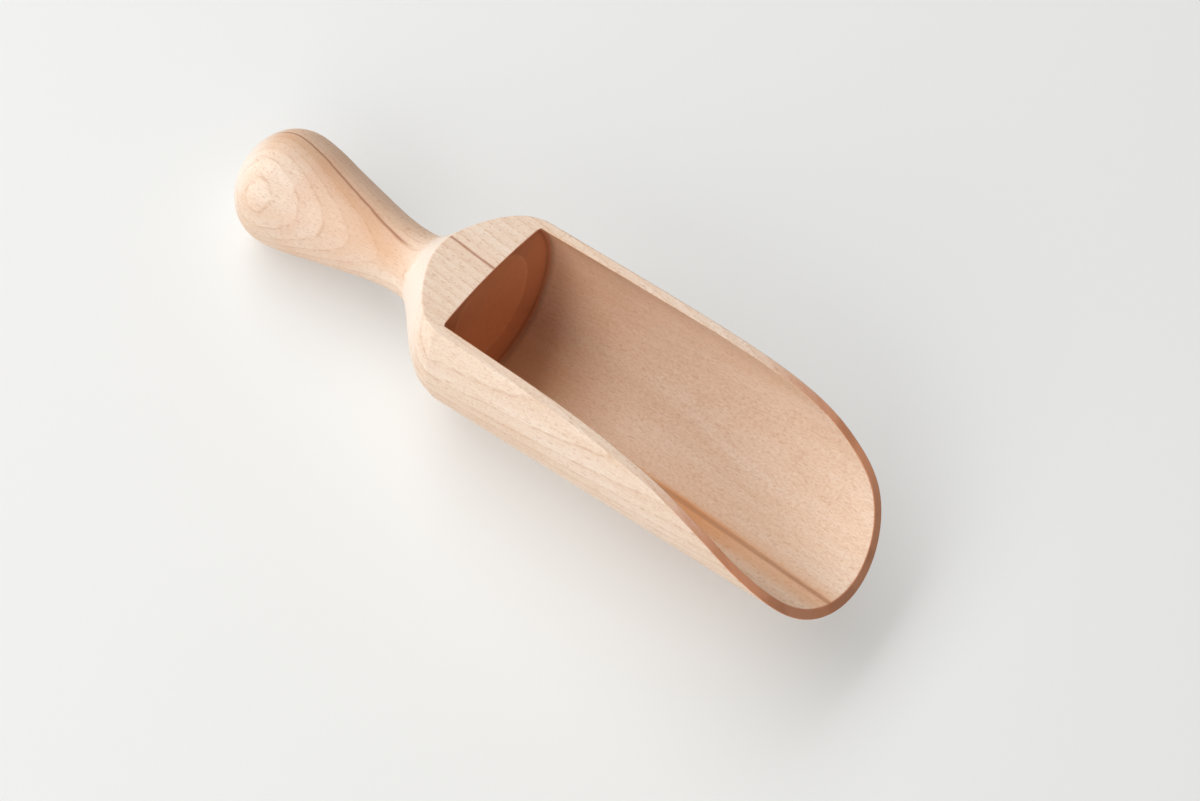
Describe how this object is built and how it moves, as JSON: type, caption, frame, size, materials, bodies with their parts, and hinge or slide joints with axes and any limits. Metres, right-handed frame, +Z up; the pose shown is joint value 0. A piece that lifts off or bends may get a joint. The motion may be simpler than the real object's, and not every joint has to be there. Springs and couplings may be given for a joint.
{
  "type": "feed scoop",
  "caption": "Wooden hand scoop turned in one piece: bulb handle, round shoulder with a sawn flat, bored bowl and rims that sweep down to a rounded lip.",
  "frame": {"origin": "on the table under the scoop, at the middle of its bounding box's base", "axes": "+X towards the lip, +Z up. The scoop lies as it rests on a table: on its bulb and its shoulder, with its turning axis raised 9 degrees towards the lip."},
  "size_m": [0.274, 0.075, 0.0638],
  "materials": {
    "beech": "sanded, unfinished"
  },
  "bodies": {
    "root": {"scoop": "beech"}
  },
  "joints": []
}
